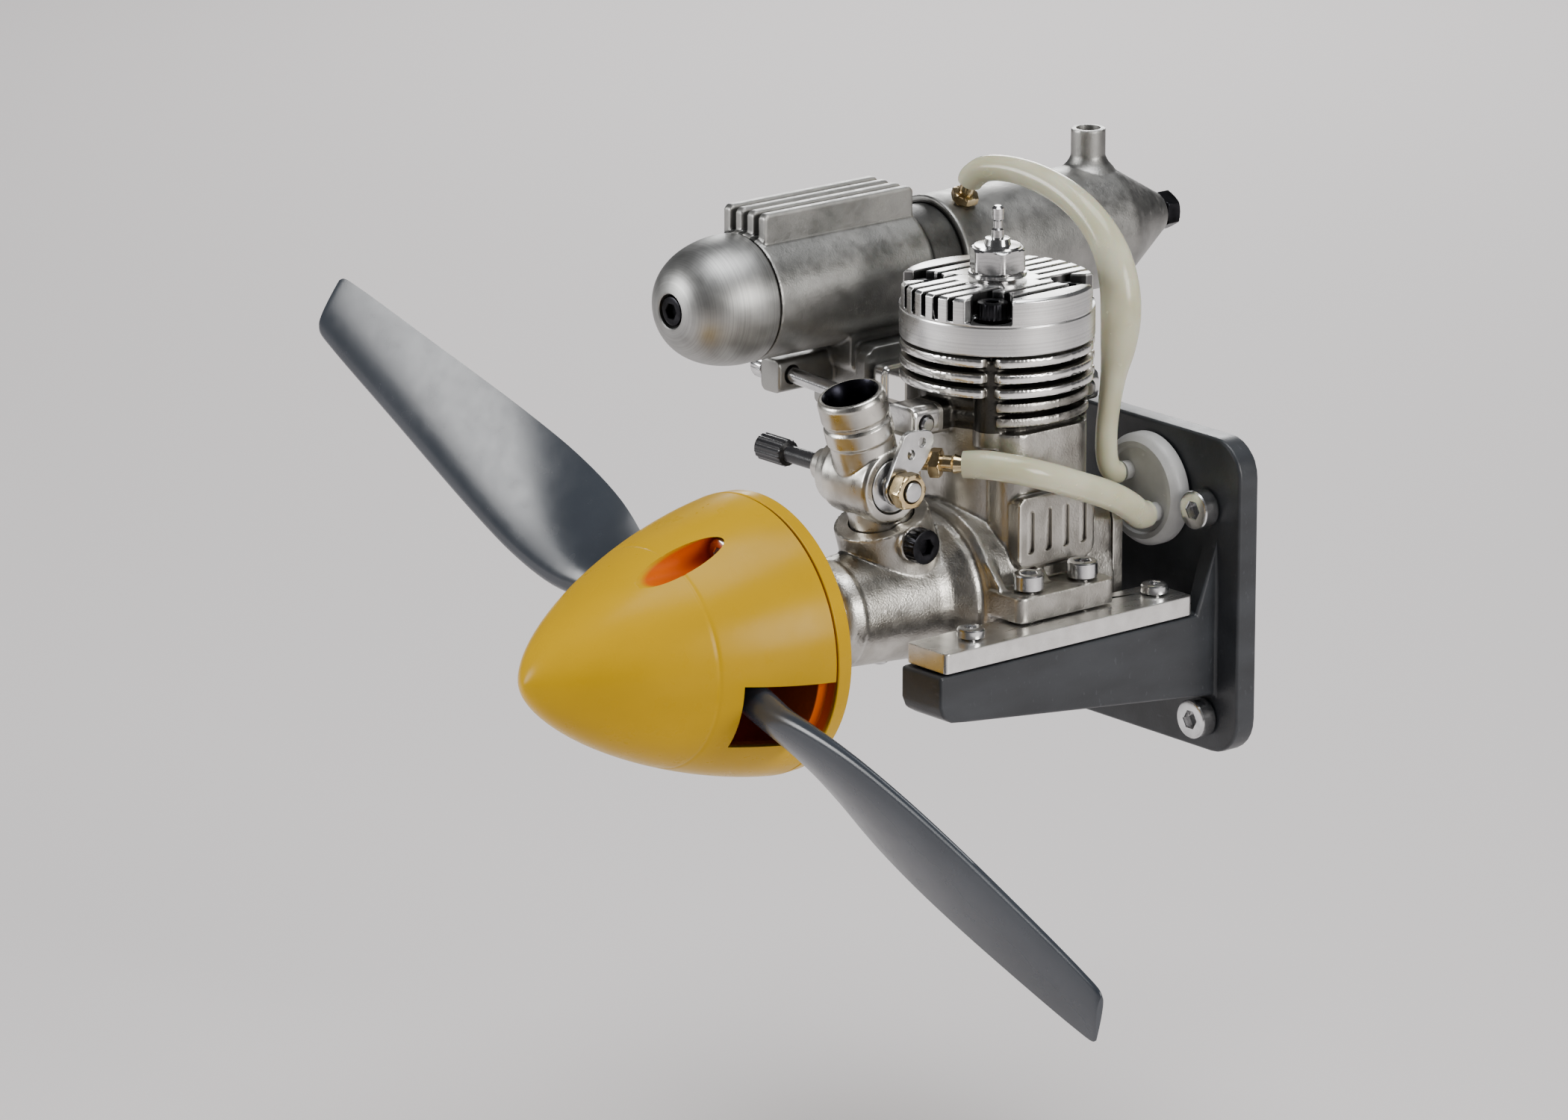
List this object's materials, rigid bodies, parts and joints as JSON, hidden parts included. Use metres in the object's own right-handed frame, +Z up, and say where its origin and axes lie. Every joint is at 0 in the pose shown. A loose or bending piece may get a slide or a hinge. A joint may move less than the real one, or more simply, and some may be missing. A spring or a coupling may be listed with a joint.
{
  "type": "model glow engine",
  "caption": "Small two-stroke model engine with carburettor, tubular silencer, propeller, spinner and beam mount, driving a light model aircraft.",
  "frame": {"origin": "centre of the mount's rear face, at the height of the crank axis", "axes": "+Z up along the cylinder, +Y backwards out of the mount's rear face, so the propeller points to -Y; +X is left as seen from behind, and the silencer is on -X"},
  "size_m": [0.1866, 0.1588, 0.1016],
  "materials": {
    "cast_aluminium": "as-cast, satin",
    "turned_aluminium": "machined, bright",
    "steel": "plated, bright",
    "black_steel": "blackened",
    "brass": "turned",
    "bronze": "sintered",
    "slate_nylon": "glass-filled, matt",
    "black_nylon": "semi-gloss",
    "yellow_plastic": "gloss",
    "grey_plastic": "satin",
    "silicone": "translucent, satin"
  },
  "bodies": {
    "engine": {"backplate": "cast_aluminium", "backplate_screw_1": "black_steel", "backplate_screw_2": "black_steel", "backplate_screw_3": "black_steel", "backplate_screw_4": "black_steel", "bar_left": "turned_aluminium", "bar_right": "turned_aluminium", "bar_screw_left_front": "steel", "bar_screw_left_rear": "steel", "bar_screw_right_front": "steel", "bar_screw_right_rear": "steel", "carb_body": "turned_aluminium", "carb_clamp_screw": "black_steel", "crankcase": "cast_aluminium", "cylinder_head": "turned_aluminium", "cylinder_liner": "steel", "engine_mount": "slate_nylon", "firewall_bolt_left_lower": "steel", "firewall_bolt_left_upper": "steel", "firewall_bolt_right_lower": "steel", "firewall_bolt_right_upper": "steel", "front_bush": "bronze", "fuel_fitting": "grey_plastic", "fuel_line": "silicone", "fuel_nipple": "brass", "glow_plug": "steel", "head_screw_1": "black_steel", "head_screw_2": "black_steel", "head_screw_3": "black_steel", "head_screw_4": "black_steel", "lug_screw_left_front": "steel", "lug_screw_left_rear": "steel", "lug_screw_right_front": "steel", "lug_screw_right_rear": "steel", "muffler_chamber": "cast_aluminium", "muffler_dome": "cast_aluminium", "muffler_nut": "black_steel", "muffler_rear": "cast_aluminium", "muffler_screw_front": "steel", "muffler_screw_rear": "steel", "muffler_through_bolt": "black_steel", "pressure_line": "silicone", "pressure_nipple": "brass"},
    "crank": {"crankshaft": "steel", "drive_washer": "turned_aluminium", "spinner_backplate": "yellow_plastic", "propeller": "black_nylon", "prop_washer": "steel", "prop_nut": "steel", "spinner_cone": "yellow_plastic", "spinner_screw_1": "steel", "spinner_screw_2": "steel"},
    "crank_pin": {"crankpin": "steel"},
    "piston_and_rod": {"piston": "cast_aluminium", "wrist_pin": "steel", "conrod": "turned_aluminium"},
    "throttle": {"throttle_barrel": "steel", "throttle_arm": "steel", "throttle_arm_nut": "brass"},
    "needle": {"needle_valve": "black_steel"}
  },
  "joints": [
    {"name": "crank_spin", "type": "hinge", "parent": "engine", "child": "crank", "pos_m": [0, -0.028, 0], "axis": [0, 1, 0], "continuous": true},
    {"name": "crank_pin_roll", "type": "hinge", "parent": "crank", "child": "crank_pin", "pos_m": [0, -0.028, 0.00343], "axis": [0, 1, 0], "continuous": true},
    {"name": "piston_stroke", "type": "hinge", "parent": "crank_pin", "child": "piston_and_rod", "pos_m": [0, -0.028, 0.00685], "axis": [0, 1, 0], "continuous": true},
    {"name": "throttle_turn", "type": "hinge", "parent": "engine", "child": "throttle", "pos_m": [0, -0.0535, 0.02], "axis": [1, 0, 0], "range_deg": [0, 60]},
    {"name": "needle_turn", "type": "hinge", "parent": "engine", "child": "needle", "pos_m": [0, -0.0535, 0.02], "axis": [1, 0, 0], "range_deg": [-540, 540]}
  ],
  "couplings": [
    {"joint": "crank_pin_roll", "follows": "crank_spin", "ratio": -2},
    {"joint": "piston_stroke", "follows": "crank_spin", "ratio": 1}
  ]
}
